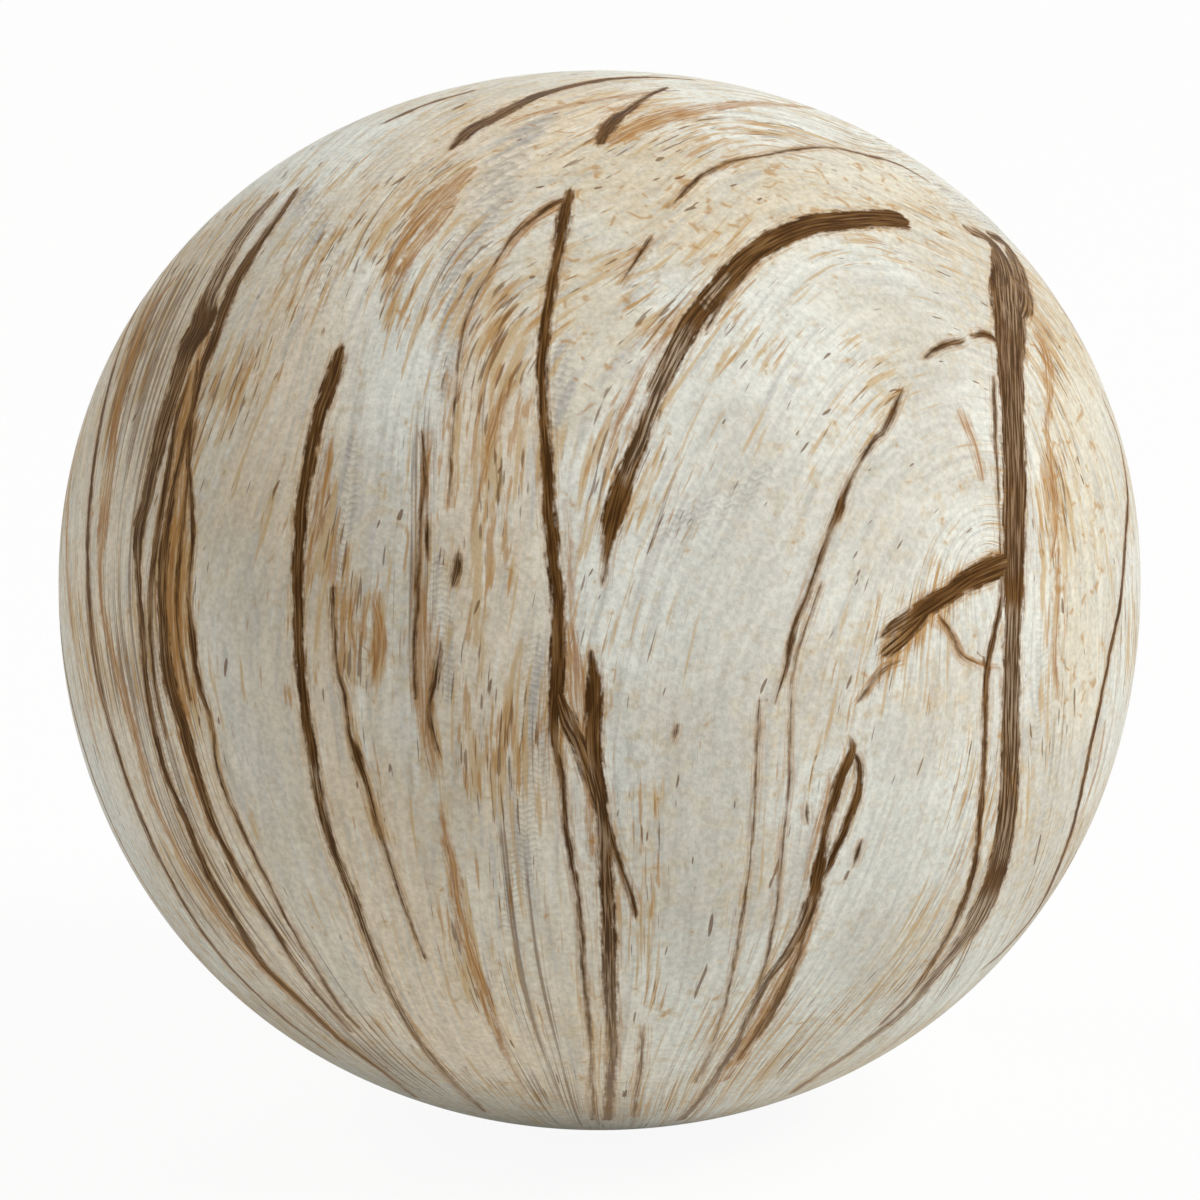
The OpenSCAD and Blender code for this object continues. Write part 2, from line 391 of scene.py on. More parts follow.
def surface_distance(direction):
    """Distance from the centre to the surface along unit directions, in millimetres."""
    level = np.hypot(direction[:, 0], direction[:, 1]) / HALF_WIDTH
    upright = np.abs(direction[:, 2]) / np.where(direction[:, 2] > 0, CROWN, BASE)
    return (level ** FULLNESS + upright ** FULLNESS) ** (-1 / FULLNESS)


def unit(vectors):
    return vectors / np.linalg.norm(vectors, axis=-1, keepdims=True)


def on_surface(points):
    """The points of the surface in line with these, measured from the centre."""
    direction = unit(points)
    return direction * surface_distance(direction)[:, None]


def seen_at(pixels):
    """The points of the surface, from the ball's centre, that the camera sees at these pixels."""
    across = pixels[:, :1] - FRAME_PX / 2
    above = FRAME_PX / 2 - pixels[:, 1:2]
    ray = unit(LOOK * FOCAL_PX + RIGHT * across + UP * above)
    middle = -(ray @ EYE)
    miss = np.maximum((EYE @ EYE) - middle ** 2, 0)
    reach = np.full(len(ray), HALF_WIDTH)
    for _ in range(SIGHT_ROUNDS):
        inside = np.sqrt(np.maximum(reach ** 2 - miss, 0))
        point = EYE + ray * (middle - inside)[:, None]
        reach = surface_distance(unit(point))
    return unit(point) * reach[:, None]


def smooth_route(knots):
    """A Catmull-Rom curve through the knots, with every column carried along."""
    knots = np.asarray(knots, float)
    padded = np.vstack([2 * knots[0] - knots[1], knots, 2 * knots[-1] - knots[-2]])
    share = np.linspace(0, 1, CURVE_PIECES, endpoint=False)[:, None]
    parts = []
    for start in range(len(knots) - 1):
        before, first, last, after = padded[start:start + 4]
        parts.append(0.5 * (2 * first + (last - before) * share
                            + (2 * before - 5 * first + 4 * last - after) * share ** 2
                            + (3 * first - before - 3 * last + after) * share ** 3))
    parts.append(knots[-1:])
    return np.vstack(parts)


def even_route(points, half_width):
    """The same route with points at even steps along the surface."""
    gaps = np.linalg.norm(np.diff(points, axis=0), axis=1)
    keep = np.concatenate([[True], gaps > 1e-6])
    points, half_width = points[keep], half_width[keep]
    run = np.concatenate([[0], np.cumsum(np.linalg.norm(np.diff(points, axis=0), axis=1))])
    stops = np.linspace(0, run[-1], max(int(run[-1] / ROUTE_STEP) + 1, 3))
    spaced = np.stack([np.interp(stops, run, points[:, axis]) for axis in range(3)], axis=1)
    return {"points": on_surface(spaced), "half": np.interp(stops, run, half_width), "run": stops}


def front_route(knots):
    """A route named in pixels, laid on the ball, with its true half width."""
    curve = smooth_route(knots)
    heading = np.gradient(curve[:, :2], axis=0)
    sideways = unit(np.stack([-heading[:, 1], heading[:, 0]], axis=1))
    to_edge = sideways * np.maximum(curve[:, 2:], LEAST_WIDTH_PX) / 2
    edge_a = seen_at(curve[:, :2] + to_edge)
    edge_b = seen_at(curve[:, :2] - to_edge)
    half = np.linalg.norm(edge_a - edge_b, axis=1) / 2
    half = np.minimum(half, RIM_STRETCH * curve[:, 2] / 2 / PX_PER_MM)
    return even_route(seen_at(curve[:, :2]), half)


# ---- the run of the grain
# The arching grain runs round two eyes: one in front, in pixels, and one behind, on the flat map.
GRAIN_EYE_PX = (985, 560)
GRAIN_EYE_BACK = np.array([-1.206, 0.58])
MERIDIAN_TO = 112.0
UPRIGHT_GRAIN = 0.75
UPRIGHT_STEP = 0.012
# Degrees over which the upright lines begin at the right vein, end to the right, and end above.
FAULT_EASE = (-1.0, 2.0)
UPRIGHT_TURN = (85, 137)
UPRIGHT_RISE = (34, 62)


def flat_map(direction):
    """Stereographic map from the lowest point: the crown lies at its middle."""
    return direction[:, :2] / np.maximum(1 + direction[:, 2:3], 1e-4)


RIGHT_VEIN = front_route(DARK_VEINS["right vein"][1])
GRAIN_EYE_FRONT = flat_map(unit(seen_at(np.array([GRAIN_EYE_PX], float))))[0]
EYE_SPREAD = np.linalg.norm(GRAIN_EYE_FRONT - GRAIN_EYE_BACK)


def eased(value, low, high):
    share = np.clip((value - low) / (high - low), 0, 1)
    return share * share * (3 - 2 * share)


def arching_grain(direction):
    """Which line of a grain that rises from the base and arches over the crown passes here."""
    spot = flat_map(direction)
    near = np.linalg.norm(spot - GRAIN_EYE_FRONT, axis=1)
    far = np.linalg.norm(spot - GRAIN_EYE_BACK, axis=1)
    return np.arccos(np.clip((far - near) / EYE_SPREAD, -1, 1))


def bearings(direction):
    """(azimuth, elevation) in degrees."""
    azimuth = np.degrees(np.arctan2(direction[:, 0], -direction[:, 1]))
    return azimuth, np.degrees(np.arcsin(np.clip(direction[:, 2], -1, 1)))


def plain_grain(direction):
    """The arching grain, with upright lines to the right of the right vein."""
    azimuth, elevation = bearings(direction)
    vein_azimuth, vein_elevation = bearings(unit(RIGHT_VEIN["points"][::-1]))
    fault = np.interp(elevation, vein_elevation, vein_azimuth)
    upright = UPRIGHT_GRAIN - UPRIGHT_STEP * (MERIDIAN_TO - azimuth)
    share = eased(azimuth - fault, *FAULT_EASE) * (1 - eased(azimuth, *UPRIGHT_TURN))
    share *= 1 - eased(elevation, *UPRIGHT_RISE)
    return arching_grain(direction) * (1 - share) + upright * share


# Routes that the grain follows, in pixels.
GRAIN_LINES = (
    [(618, 1115), (622, 900), (612, 760), (604, 640), (606, 556), (625, 478), (659, 387), (716, 289),
     (797, 226), (878, 217)],
    [(546, 330), (545, 448), (554, 563), (558, 639), (562, 777), (575, 880), (585, 991), (593, 1110)],
    [(341, 345), (313, 440), (299, 544), (299, 658), (315, 774), (347, 882), (398, 1007), (487, 1112)],
    [(276, 193), (209, 295), (163, 425), (138, 560), (145, 678), (188, 825), (264, 965), (379, 1070)],
    [(298, 187), (225, 306), (179, 463), (161, 586), (171, 689), (210, 819), (280, 937), (379, 1055)],
    [(560, 200), (508, 243), (473, 302), (456, 394), (448, 505), (440, 640), (450, 800), (480, 980),
     (530, 1100)],
    [(450, 149), (501, 113), (568, 86), (648, 76)],
    [(420, 220), (385, 300), (365, 420), (355, 560), (360, 700), (388, 857), (440, 1000)],
    [(590, 610), (580, 520), (584, 430), (600, 350), (628, 272), (670, 206), (729, 162), (795, 149),
     (867, 155), (925, 180)],
    [(903, 389), (874, 441), (840, 509), (809, 591), (786, 670), (778, 760), (770, 900), (740, 1030)],
    [(700, 560), (692, 700), (690, 850), (672, 1000), (640, 1118)],
    [(900, 700), (880, 800), (845, 900), (790, 1010), (710, 1100)],
    [(92, 480), (89, 593), (119, 758), (178, 895), (283, 1019)],
)
SWAY_REACH = 13.0
SWAY_EASE = 0.02
SWAY_GAP = 4.0


def sway_fit():
    """Centres and heights of the soft swells that bring the grain onto its named lines."""
    spots, wanted = [], []
    for line in GRAIN_LINES:
        points = front_route([(x, y, 2) for x, y in line])["points"][::int(SWAY_GAP / ROUTE_STEP)]
        grain = plain_grain(unit(points))
        spots.append(points)
        wanted.append(np.median(grain) - grain)
    spots, wanted = np.vstack(spots), np.concatenate(wanted)
    centres = spots[::2]
    swell = np.exp(-np.sum((spots[:, None] - centres) ** 2, axis=2) / (2 * SWAY_REACH ** 2))
    steady = swell.T @ swell + SWAY_EASE * len(spots) / len(centres) * np.eye(len(centres))
    return centres, np.linalg.solve(steady, swell.T @ wanted)


SWAY = sway_fit()


def grain_at(points):
    """Which line of the grain passes through points measured from the centre."""
    grain = plain_grain(unit(points))
    for centre, height in zip(*SWAY):
        grain = grain + height * np.exp(-np.sum((points - centre) ** 2, axis=1) / (2 * SWAY_REACH ** 2))
    return grain


MARCH_STEP = 1.0
MARCH_NUDGE = 0.4
# Slightly off upright, so that east is known at the crown too.
NEARLY_UP = (0.003, 0.002, 1.0)


def marched_routes(starts, lengths):
    """Routes that leave the starts and follow the grain downwards."""
    azimuth, elevation = np.radians(np.asarray(starts, float)).T
    level = np.cos(elevation)
    start = np.stack([np.sin(azimuth) * level, -np.cos(azimuth) * level, np.sin(elevation)], axis=1)
    points = on_surface(start)
    trails = [points]
    previous = None
    for _ in range(int(max(lengths) / MARCH_STEP)):
        normal = unit(points)
        east = unit(np.cross(normal, NEARLY_UP))
        north = np.cross(normal, east)
        slope_east = grain_at(points + east * MARCH_NUDGE) - grain_at(points - east * MARCH_NUDGE)
        slope_north = grain_at(points + north * MARCH_NUDGE) - grain_at(points - north * MARCH_NUDGE)
        heading = unit(np.cross(normal, east * slope_east[:, None] + north * slope_north[:, None]))
        if previous is None:
            turn = np.where(heading[:, 2] > 0, -1.0, 1.0)
        else:
            turn = np.where(np.sum(heading * previous, axis=1) < 0, -1.0, 1.0)
        heading = heading * turn[:, None]
        previous = heading
        points = on_surface(points + heading * MARCH_STEP)
        trails.append(points)
    trails = np.stack(trails, axis=1)
    return [trail[:max(int(length / MARCH_STEP), 4)] for trail, length in zip(trails, lengths)]


# The share of a hidden vein that its start and its end take up, and how bluntly each ends.
VEIN_START = (0.12, 0.7)
VEIN_END = (0.45, 0.8)
# Swells of its width: height, and the fewest and most radians along the vein.
WIDTH_SWELLS = ((0.30, 8, 16), (0.15, 20, 34))
HIDDEN_SEED = 7


def end_taper(share, length, bluntness):
    return np.minimum(share / length, 1) ** bluntness


def wandering_width(count, width, seed):
    """Half widths that start and end fine and swell unevenly between."""
    random = np.random.default_rng(seed)
    share = np.linspace(0, 1, count)
    ends = end_taper(share, *VEIN_START) * end_taper(1 - share, *VEIN_END)
    swell = 1
    for height, fewest, most in WIDTH_SWELLS:
        swell = swell + height * np.sin(share * random.uniform(fewest, most) + random.uniform(0, 6))
    return width / 2 * ends * swell


def hidden_routes(rows):
    """Routes for the sides and the back from rows of azimuth, elevation, length, width."""
    trails = marched_routes([row[:2] for row in rows], [row[2] for row in rows])
    made = []
    for number, (trail, row) in enumerate(zip(trails, rows)):
        made.append(even_route(trail, wandering_width(len(trail), row[3], number + HIDDEN_SEED)))
    return made


# ---- fields laid on the mesh
def nearest_on(points, route):
    """For each point: run along the route, signed gap across it, half width there, and true distance."""
    spots, run = route["points"], route["run"]
    heading = unit(np.gradient(spots, axis=0))
    side = unit(np.cross(unit(spots), heading))
    best = np.full(len(points), np.inf)
    which = np.zeros(len(points), int)
    for number, spot in enumerate(spots):
        gap = np.sum((points - spot) ** 2, axis=1)
        closer = gap < best
        best[closer] = gap[closer]
        which[closer] = number
    offset = points - spots[which]
    along = np.sum(offset * heading[which], axis=1)
    across = np.sum(offset * side[which], axis=1)
    inside = (run[which] + along > 0) & (run[which] + along < run[-1])
    distance = np.where(inside, np.abs(across), np.sqrt(best))
    half = np.interp(run[which] + along, run, route["half"])
    return run[which] + along, across, half, distance


def near_route(points, route, reach):
    """Numbers of the points inside the route's box, widened by the reach."""
    low = route["points"].min(axis=0) - reach
    high = route["points"].max(axis=0) + reach
    return np.flatnonzero(np.all((points > low) & (points < high), axis=1))


def lay_route(sheet, points, route, start):
    """Writes a route's (along, across, reach) where it is the nearest of its sheet."""
    near = near_route(points, route, VEIN_REACH)
    run, across, half, distance = nearest_on(points[near], route)
    edge = distance - half
    reach = half - STEP_AWAY * np.maximum(edge - NEAR, 0)
    beyond = np.maximum(-run, run - route["run"][-1])
    past_end = -STEP_AWAY * np.maximum(beyond - END_ROOM, 0) - END_GAP
    reach = np.where(beyond > 0, past_end, reach)
    wins = (edge < sheet["edge"][near]) & (edge < VEIN_REACH)
    rows = near[wins]
    sheet["edge"][rows] = edge[wins]
    sheet["value"][rows] = np.stack([run[wins] + start, across[wins], reach[wins]], axis=1)


def lay_stain(field, points, route, strength):
    """Raises a soft stain along a route to its strength."""
    near = near_route(points, route, route["half"].max() * STAIN_REACH)
    _, _, half, distance = nearest_on(points[near], route)
    amount = strength * (1 - eased(distance / np.maximum(half, LEAST_HALF), *STAIN_FADE))
    field[near] = np.maximum(field[near], amount)


def ball_mesh():
    """(points from the centre, faces, map corners) of a ball of six evenly divided sides."""
    steps = np.arange(MESH_STEPS + 1)
    first, second = np.meshgrid(steps, steps, indexing="ij")
    keys, uvs = [], []
    for side in range(6):
        axis, positive = side % 3, side < 3
        lattice = np.empty(first.shape + (3,), int)
        lattice[..., axis] = MESH_STEPS if positive else 0
        lattice[..., (axis + 1) % 3] = first
        lattice[..., (axis + 2) % 3] = second if positive else MESH_STEPS - second
        keys.append(lattice.reshape(-1, 3))
        column = (side % 3 + MAP_MARGIN + (1 - 2 * MAP_MARGIN) * first / MESH_STEPS) / 3
        row = (side // 3 + MAP_MARGIN + (1 - 2 * MAP_MARGIN) * second / MESH_STEPS) / 2
        uvs.append(np.stack([column.ravel(), row.ravel()], axis=1))
    keys, uvs = np.vstack(keys), np.vstack(uvs)
    lattice, shared = np.unique(keys, axis=0, return_inverse=True)
    corner = np.arange((MESH_STEPS + 1) ** 2).reshape(first.shape)
    around = (corner[:-1, :-1], corner[1:, :-1], corner[1:, 1:], corner[:-1, 1:])
    quads = np.stack(around, axis=-1).reshape(-1, 4)
    loops = np.vstack([quads + side * corner.size for side in range(6)])
    direction = unit(np.tan((lattice / MESH_STEPS * 2 - 1) * math.pi / 4))
    points = direction * surface_distance(direction)[:, None]
    return points, shared.ravel()[loops], uvs[loops.ravel()]


def hand_relief(direction):
    """Slight unevenness left by honing, always inwards, in millimetres."""
    random = np.random.default_rng(HONING_SEED)
    total = np.zeros(len(direction))
    for size in HONING_WAVES:
        axis = unit(random.normal(size=(HONING_EACH, 3)))
        phase = random.uniform(0, 6.28, HONING_EACH)
        total += np.sin(direction @ axis.T * size + phase).sum(axis=1) / size
    total = (total - total.min()) / (total.max() - total.min())
    return HAND_RELIEF * total


def placed(name, data):
    """An object of the scene that holds this data."""
    holder = bpy.data.objects.new(name, data)
    bpy.context.scene.collection.objects.link(holder)
    return holder


def make_ball():
    """The ball as one mesh that carries its grain, veins and stains."""
    points, faces, corners = ball_mesh()
    direction = unit(points)
    shown = direction * (surface_distance(direction) - SKIN - hand_relief(direction))[:, None]
    mesh = bpy.data.meshes.new("marble_ball")
    mesh.from_pydata(((shown + CENTRE) * MM).tolist(), [], faces.tolist())
    mesh.polygons.foreach_set("use_smooth", np.ones(len(faces), bool))
    # The UV map of the six sides, named OFBake.
    layer = mesh.uv_layers.new(name="OFBake")
    layer.data.foreach_set("uv", corners.astype(np.float32).ravel())
    lay_fields(mesh, points)
    return placed("marble_ball", mesh)


def store(mesh, name, values):
    """Keeps one field on the mesh's points."""
    kind = "FLOAT" if values.ndim == 1 else "FLOAT_VECTOR"
    attribute = mesh.attributes.new(name, kind, "POINT")
    attribute.data.foreach_set("value" if kind == "FLOAT" else "vector", values.astype(np.float32).ravel())


def lay_fields(mesh, points):
    """Works out the grain, the vein sheets and the stains, and stores them."""
    veins = [(sheet, front_route(knots)) for sheet, knots in DARK_VEINS.values()]
    bands = [front_route(knots) for knots in TAN_BANDS.values()]
    veins += [(row[4], route) for row, route in zip(HIDDEN_VEINS, hidden_routes(HIDDEN_VEINS))]
    veins += [(TAN_SHEET, route) for route in bands + hidden_routes(HIDDEN_BANDS)]
    sheets = []
    for _ in range(SHEETS):
        value = np.tile([0.0, FAR, -FAR], (len(points), 1))
        sheets.append({"edge": np.full(len(points), np.inf), "value": value})
    for number, (sheet, route) in enumerate(veins):
        lay_route(sheets[sheet], points, route, number * ROUTE_GAP)
    for number, sheet in enumerate(sheets):
        store(mesh, f"vein_{number}", sheet["value"])
    stains = {kind: np.zeros(len(points)) for kind in STAINS}
    for kind, rows in STAINS.items():
        for strength, knots in rows:
            lay_stain(stains[kind], points, front_route(knots), strength)
    for row, route in zip(HIDDEN_STAINS, hidden_routes(HIDDEN_STAINS)):
        lay_stain(stains[row[5]], points, route, row[4])
    for kind, field in stains.items():
        store(mesh, f"stain_{kind}", field)
    store(mesh, "grain", grain_at(points))


# ---- node helpers
def linear(red, green, blue):
    """A colour written as 0 to 255 steps, as the shader takes it."""
    def one(step):
        share = step / 255
        return share / 12.92 if share <= 0.04045 else ((share + 0.055) / 1.055) ** 2.4
    return (one(red), one(green), one(blue), 1.0)


class Board:
    """Nodes of one tree, placed and joined in short calls."""

    def __init__(self, tree):
        self.tree = tree

    def node(self, kind, **settings):
        made = self.tree.nodes.new(kind)
        for name, value in settings.items():
            setattr(made, name, value)
        return made

    def feed(self, socket, value):
        if isinstance(value, bpy.types.NodeSocket):
            self.tree.links.new(value, socket)
        else:
            socket.default_value = value

    def vector(self, operation, *given, scale=None):
        made = self.node("ShaderNodeVectorMath", operation=operation)
        for socket, value in zip(made.inputs, given):
            self.feed(socket, value)
        if scale is not None:
            self.feed(made.inputs["Scale"], scale)
        return made.outputs[0]

    def math(self, operation, *given):
        made = self.node("ShaderNodeMath", operation=operation)
        for socket, value in zip(made.inputs, given):
            self.feed(socket, value)
        return made.outputs[0]

    def times(self, first, second):
        return self.math("MULTIPLY", first, second)

    def minus(self, first, second):
        return self.math("SUBTRACT", first, second)

    def plus(self, value, share, base):
        """The base with a share of the value added to it."""
        return self.math("MULTIPLY_ADD", value, share, base)

    def parts(self, vector):
        made = self.node("ShaderNodeSeparateXYZ")
        self.feed(made.inputs[0], vector)
        return made.outputs

    def ease(self, value, low, high, out_low=0.0, out_high=1.0):
        made = self.node("ShaderNodeMapRange", interpolation_type="SMOOTHSTEP")
        for name, given in (("Value", value), ("From Min", low), ("From Max", high),
                            ("To Min", out_low), ("To Max", out_high)):
            self.feed(made.inputs[name], given)
        return made.outputs["Result"]

    def blend(self, share, first, second, mode="MIX"):
        made = self.node("ShaderNodeMix", data_type="RGBA", blend_type=mode)
        self.feed(made.inputs[0], share)
        self.feed(made.inputs[6], first)
        self.feed(made.inputs[7], second)
        return made.outputs[2]

    def noise(self, vector, scale, detail, rough):
        made = self.node("ShaderNodeTexNoise")
        self.feed(made.inputs["Vector"], vector)
        self.feed(made.inputs["Scale"], scale)
        self.feed(made.inputs["Detail"], detail)
        self.feed(made.inputs["Roughness"], rough)
        return made.outputs["Fac"]

    def place(self, x, y, z):
        made = self.node("ShaderNodeCombineXYZ")
        for socket, value in zip(made.inputs, (x, y, z)):
            self.feed(socket, value)
        return made.outputs[0]

    def attribute(self, name, output="Fac"):
        return self.node("ShaderNodeAttribute", attribute_name=name).outputs[output]

    def group(self, tree, **values):
        made = self.node("ShaderNodeGroup", node_tree=tree)
        for name, value in values.items():
            self.feed(made.inputs[name], value)
        return made


def new_group(name, vectors, values, outputs):
    """A shader node group with named sockets, its board, and its two end nodes."""
    tree = bpy.data.node_groups.new(name, "ShaderNodeTree")
    for label in vectors:
        tree.interface.new_socket(label, in_out="INPUT", socket_type="NodeSocketVector")
    for label in values:
        tree.interface.new_socket(label, in_out="INPUT", socket_type="NodeSocketFloat")
    for label in outputs:
        tree.interface.new_socket(label, in_out="OUTPUT", socket_type="NodeSocketFloat")
    board = Board(tree)
    return tree, board, board.node("NodeGroupInput").outputs, board.node("NodeGroupOutput").inputs


STROKE_SLANT = (1.0, 0.61, 0.83)
# Noises: steps per mm, detail and roughness.
MOTTLE = (1.9, 2.0, 0.6)
SPECKLES = (0.66, 2.0, 0.62)
SWAYS = (0.55, 1.0, 0.5)
CURLS = (0.30, 1.0, 0.5)
PATCHES = (0.07, 1.0, 0.5)
CLOUDS = (0.055, 1.0, 0.55)
# Strokes: steps across and along the grain, seed and detail.
FIBRES = (62.0, 0.12, 17.0, 2.0)
STREAKS = (42.0, 0.19, 29.0, 2.0)
FLECKS = (52.0, 0.36, 88.0, 1.0)
# Steps per mm along and across a vein.
VEIN_FRAY = (0.45, 2.2)
VEIN_FIBRE = (0.20, 4.2)
# Width in mm of the sideways sway that all veins share.
VEIN_SWAY = 0.34
# Heights in mm between which the veins gain strength, and their strength at each.
FOOT_FADE = (3.0, 32.0, 0.58, 1.0)
# Share of the depth in the place of a stroke.
DEPTH_SHARE = 0.6


def strokes_group():
    """Noise drawn out along the grain. Place has no x. The slant keeps the stroke ends out of line."""
    tree, board, given, result = new_group(
        "Grain strokes", ["Grain", "Place"], ["Across", "Along", "Seed", "Detail"], ["Value"])
    slant = board.vector("SCALE", STROKE_SLANT, scale=given["Across"])
    drawn = board.vector("MULTIPLY_ADD", given["Place"], given["Along"], given["Seed"])
    spread = board.vector("MULTIPLY_ADD", given["Grain"], slant, drawn)
    board.feed(result["Value"], board.noise(spread, 1.0, given["Detail"], 0.55))
    return tree


def vein_group():
    """Veins of one sheet: their cores, the frayed fringe beside them, and the fibres inside them."""
    tree, board, given, result = new_group(
        "Vein sheet", ["Sheet"], ["Shift", "Grit", "Ragged", "Softness", "Seed", "Worn"],
        ["Core", "Fringe", "Fibre"])
    along, across, reach = board.parts(given["Sheet"])

    def drawn(steps):
        return board.place(board.times(along, steps[0]), board.times(across, steps[1]), given["Seed"])

    fray = board.noise(drawn(VEIN_FRAY), 1.0, 2.0, 0.62)
    fibre = board.noise(drawn(VEIN_FIBRE), 1.0, 2.0, 0.65)
    edge = board.minus(board.math("ABSOLUTE", board.math("ADD", across, given["Shift"])), reach)
    ragged = board.plus(given["Grit"], 0.30, board.minus(fray, 0.65))
    stout = board.times(given["Ragged"], board.ease(reach, 0.0, 0.9, 0.34, 1.0))
    edge = board.plus(ragged, stout, edge)
    core = board.ease(edge, given["Softness"], board.times(given["Softness"], -1.0))
    faint = board.math("MAXIMUM", given["Worn"], board.ease(reach, 0.42, 0.08, 0.0, 0.55))
    lost = board.times(faint, board.ease(fibre, 0.44, 0.62, 0.08, 0.95))
    board.feed(result["Core"], board.times(core, board.minus(1.0, lost)))
    frayed = board.plus(board.minus(fibre, 0.5), 3.2, edge)
    board.feed(result["Fringe"], board.ease(frayed, 0.70, -0.20))
    board.feed(result["Fibre"], fibre)
    return tree


PALE = linear(234, 235, 226)
CREAM = linear(221, 217, 204)
# Greyer tone of the plain patches: painted shade.
ASH = linear(201, 199, 192)
YELLOW_TINT = linear(226, 212, 182)
# Warm beige tint, partly painted warm shade on the shaded left and lower front.
BEIGE_AND_WARM_SHADE = linear(230, 212, 184)
SPECKLE = linear(216, 201, 172)
PAINTED_SHADE_GREY = linear(212, 212, 203)
TAN = linear(205, 174, 124)
OCHRE = linear(186, 138, 76)
BROWN = linear(112, 78, 44)
SMEAR_TINT = linear(178, 173, 166)
# Twisted rows: rows per unit of grain, radians per mm of height, slope, wander and depth of shade.
ROPE_ROWS = 66.0
ROPE_TWISTS = 11.5
ROPE_SLOPE = 4.5
ROPE_WANDER = 9.0
ROPE_DEPTH = 0.10
# Depth of shade of the soft streaks.
STREAK_DEPTH = 0.42
# Brightness of the ground at the low and the high end of the mottle.
MOTTLE_SHADE = (0.3, 0.7, 0.89, 1.07)
# Tint, strength, what calls for it, the value where it starts and its softness,
# steps across and along, seed, detail.
STROKE_LAYERS = (
    (TAN, 0.70, "warm", 0.55, 0.14, 68.0, 0.16, 5.0, 2.0),
    (OCHRE, 0.65, "warm", 0.62, 0.10, 100.0, 0.24, 23.0, 2.0),
    (BROWN, 0.66, "warm", 0.69, 0.08, 140.0, 0.32, 57.0, 1.0),
    (BROWN, 0.62, "fine", 0.68, 0.12, 92.0, 0.030, 71.0, 2.0),
)
VEIN_DARK = linear(68, 43, 16)
VEIN_BROWN = linear(114, 80, 42)
VEIN_PALE = linear(142, 113, 78)
BAND_BROWN = linear(160, 112, 66)
BAND_EDGE = {"Ragged": 1.6, "Softness": 0.34, "Seed": 9.0, "Worn": 0.10}
VEIN_EDGE = {"Ragged": 1.25, "Softness": 0.22, "Seed": 20.0}


def ground_colour(board, strokes, place, turned, stain):
    """The pale ground with its broad tints, partly painted shade, its fibres, its mottle and its roped
    patches.
    """
    mottle = board.noise(place, *MOTTLE)
    fibre = strokes(*FIBRES)
    streak = strokes(*STREAKS)
    cloud = board.noise(turned, *CLOUDS)
    colour = board.blend(board.ease(cloud, 0.38, 0.62), CREAM, PALE)
    colour = board.blend(board.times(stain["yellow"], 0.55), colour, YELLOW_TINT)
    # Painted warm shade, in part: the beige tint of the left and lower front.
    colour = board.blend(board.times(stain["beige_and_shade"], 0.72), colour, BEIGE_AND_WARM_SHADE)
    ash = board.plus(stain["plain_and_shade"], -0.20, 0.62)
    colour = board.blend(board.times(board.ease(fibre, 0.5, 0.30), ash), colour, ASH)
    colour = board.blend(board.ease(fibre, 0.55, 0.75, 0.0, 0.6), colour, PALE)
    speckle = board.noise(turned, *SPECKLES)
    spots = board.plus(cloud, -0.35, board.plus(stain["yellow"], 0.03, speckle))
    colour = board.blend(board.ease(spots, 0.31, 0.52, 0.0, 0.60), colour, SPECKLE)
    smear = board.times(stain["grey"], board.ease(fibre, 0.62, 0.36, 0.12, 0.80))
    colour = board.blend(smear, colour, SMEAR_TINT)
    # Painted shade: the plain patches turn greyer.
    colour = board.blend(board.times(stain["plain_and_shade"], 0.45), colour, PAINTED_SHADE_GREY)
    shade = board.ease(mottle, *MOTTLE_SHADE)
    shade = board.plus(roped(board, mottle, place, stain), ROPE_DEPTH, shade)
    shade = board.plus(board.minus(streak, 0.5), STREAK_DEPTH, shade)
    return board.blend(1.0, colour, shade, "MULTIPLY"), mottle, fibre, speckle


def roped(board, mottle, place, stain):
    """Fine slanting twists in short rows, as of rope, only in and near the grey patches: -1 to 1."""
    row = board.math("PINGPONG", board.times(board.attribute("grain"), ROPE_ROWS), 1.0)
    slope = board.plus(row, ROPE_SLOPE, board.times(mottle, ROPE_WANDER))
    turn = board.plus(board.parts(place)[2], ROPE_TWISTS, slope)
    return board.times(board.math("SINE", turn), board.ease(stain["grey"], 0.10, 0.60))


def stroke_layers(board, strokes, colour, turned, speckle, stain):
    """Tan and ochre strokes, brown dashes, long threads, curls and flecks."""
    patchy = board.noise(turned, *PATCHES)
    busy = board.plus(stain["plain_and_shade"], -0.10, board.ease(patchy, 0.30, 0.75, -0.07, 0.07))
    warm = board.plus(stain["tan"], 0.13, busy)
    called = {"warm": warm, "fine": board.plus(stain["lines"], 0.21, busy)}
    for tint, strength, call, low, soft, across, along, seed, detail in STROKE_LAYERS:
        value = board.math("ADD", strokes(across, along, seed, detail), called[call])
        colour = board.blend(board.ease(value, low, low + soft, 0.0, strength), colour, tint)
    gate = board.plus(stain["yellow"], 0.14, speckle)
    curl = board.math("ABSOLUTE", board.minus(board.noise(turned, *CURLS), 0.5))
    curl = board.times(board.ease(curl, 0.045, 0.008), board.ease(gate, 0.63, 0.75, 0.0, 0.60))
    colour = board.blend(curl, colour, OCHRE)
    fleck = board.ease(strokes(*FLECKS), 0.735, 0.765, 0.0, 0.75)
    return board.blend(fleck, colour, BROWN)


